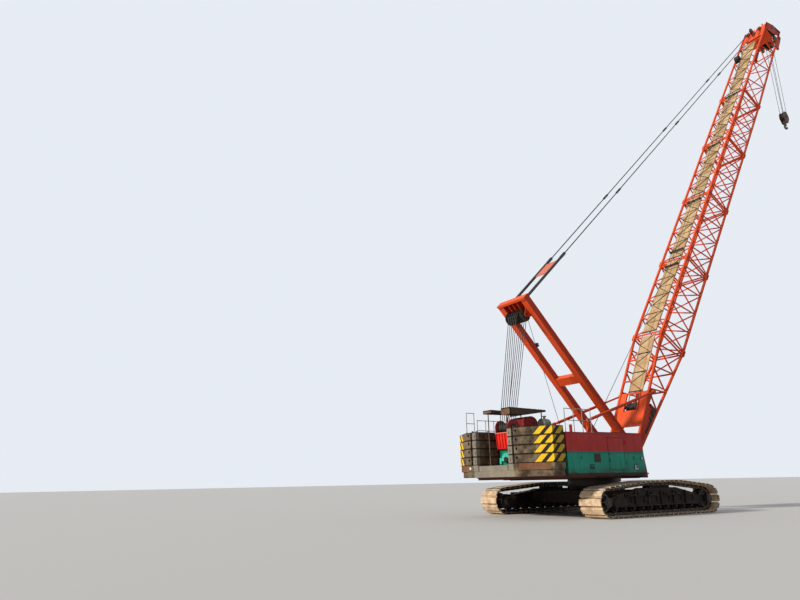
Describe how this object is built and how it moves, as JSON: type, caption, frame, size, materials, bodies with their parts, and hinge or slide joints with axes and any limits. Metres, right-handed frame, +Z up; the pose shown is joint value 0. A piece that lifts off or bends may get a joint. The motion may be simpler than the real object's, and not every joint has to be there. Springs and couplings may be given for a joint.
{
  "type": "crawler crane",
  "caption": "Tracked lattice-boom crane with a slewing superstructure, luffing boom and mast, stacked counterweights, a cab and a hook block.",
  "frame": {"origin": "the point on the ground under the slewing axis", "axes": "+X the way the boom points, +Y to the left, +Z up along the slewing axis"},
  "size_m": [33.8681, 7.8, 38.5213],
  "materials": {
    "undercarriage_black": "dusty black paint",
    "bare_steel": "greasy dark steel",
    "track_shoes": "steel worn and caked with dust",
    "dark_red_paint": "faded dark red paint",
    "housing_paint": "green lower panels and a dark red band",
    "counterweight_iron": "weathered iron with yellow and black stripes",
    "bright_red_paint": "gloss red paint",
    "grey_paint": "weathered grey-green paint",
    "rusty_sheet": "rusty sheet",
    "galvanised_rail": "dull galvanised tube",
    "boom_paint": "orange-red paint, chalked by the sun",
    "cab_glazing": "tinted glass",
    "seat_cover": "black cloth",
    "console_plastic": "black moulding",
    "walkway_plate": "ochre grating",
    "stay_rope": "greased wire rope"
  },
  "bodies": {
    "undercarriage": {"carbody": "undercarriage_black", "axle_beams": "undercarriage_black", "slew_ring": "bare_steel", "track_frame_right": "undercarriage_black", "track_frame_left": "undercarriage_black", "track_right": "track_shoes", "track_left": "track_shoes", "end_wheels": "bare_steel", "travel_drives": "undercarriage_black"},
    "superstructure": {"revolving_frame": "dark_red_paint", "housing_right": "housing_paint", "housing_left": "housing_paint", "engine_block": "bare_steel", "counterweight_base": "counterweight_iron", "counterweight_right": "counterweight_iron", "counterweight_left": "counterweight_iron", "winch_frame": "bright_red_paint", "luffing_drum": "bare_steel", "hoist_drums": "bare_steel", "drum_cover": "dark_red_paint", "air_cleaner": "grey_paint", "canopy": "rusty_sheet", "handrails": "galvanised_rail", "walkways": "rusty_sheet", "stop_supports": "boom_paint", "cab_body": "housing_paint", "cab_glass": "cab_glazing", "cab_seat": "seat_cover", "cab_console": "console_plastic"},
    "cab_door": {"cab_door": "housing_paint", "cab_door_glass": "cab_glazing"},
    "service_door_right": {"service_door_right": "housing_paint"},
    "service_door_left": {"service_door_left": "housing_paint"},
    "mast": {"mast": "boom_paint", "mast_sheaves": "bare_steel"},
    "boom": {"boom_foot": "boom_paint", "boom_section_1": "boom_paint", "boom_section_2": "boom_paint", "boom_section_3": "boom_paint", "boom_section_4": "boom_paint", "boom_head": "boom_paint", "head_sheaves": "bare_steel", "boom_walkway": "walkway_plate", "foot_winch": "bare_steel", "guide_rollers": "bare_steel", "pendants": "stay_rope"},
    "stop_barrels": {"stop_barrels": "boom_paint"},
    "stop_rods": {"stop_rods": "boom_paint"},
    "hook_tackle": {"hook_falls": "stay_rope", "hook_block": "bare_steel"},
    "hook": {"hook": "bare_steel"}
  },
  "joints": [
    {"name": "slew", "type": "hinge", "parent": "undercarriage", "child": "superstructure", "pos_m": [0, 0, 1.48], "axis": [0, 0, 1], "continuous": true},
    {"name": "boom_luff", "type": "hinge", "parent": "superstructure", "child": "boom", "pos_m": [2.25, 0, 2.8], "axis": [0, -1, 0], "range_deg": [-25, 24]},
    {"name": "mast_luff", "type": "hinge", "parent": "superstructure", "child": "mast", "pos_m": [2.25, 0, 2.8], "axis": [0, -1, 0], "range_deg": [-25, 24]},
    {"name": "stop_tilt", "type": "hinge", "parent": "superstructure", "child": "stop_barrels", "pos_m": [-1.25, 0, 4.33], "axis": [0, -1, 0], "range_deg": [-12.45, 11.97]},
    {"name": "stop_slide", "type": "slide", "parent": "stop_barrels", "child": "stop_rods", "axis": [0.9528, 0, 0.3035], "range_m": [-1.063, 1.106]},
    {"name": "tackle_plumb", "type": "hinge", "parent": "boom", "child": "hook_tackle", "pos_m": [27.0046, 0, 37.4208], "axis": [0, -1, 0], "range_deg": [-24, 25]},
    {"name": "hook_swivel", "type": "hinge", "parent": "hook_tackle", "child": "hook", "pos_m": [27.0046, 0, 29.8], "axis": [0, 0, 1], "continuous": true},
    {"name": "cab_door_hinge", "type": "hinge", "parent": "superstructure", "child": "cab_door", "pos_m": [1.176, 3.03, 2.6], "axis": [0, 0, 1], "range_deg": [0, 100]},
    {"name": "right_door_hinge", "type": "hinge", "parent": "superstructure", "child": "service_door_right", "pos_m": [-1.156, -3.07, 2.6], "axis": [0, 0, 1], "range_deg": [0, 110]},
    {"name": "left_door_hinge", "type": "hinge", "parent": "superstructure", "child": "service_door_left", "pos_m": [-1.156, 3.07, 2.6], "axis": [0, 0, -1], "range_deg": [0, 110]}
  ],
  "couplings": [
    {"joint": "mast_luff", "follows": "boom_luff", "ratio": 1},
    {"joint": "stop_tilt", "follows": "boom_luff", "ratio": 0.4778},
    {"joint": "stop_slide", "follows": "boom_luff", "m_per_rad": -2.4889},
    {"joint": "tackle_plumb", "follows": "boom_luff", "ratio": -1}
  ]
}
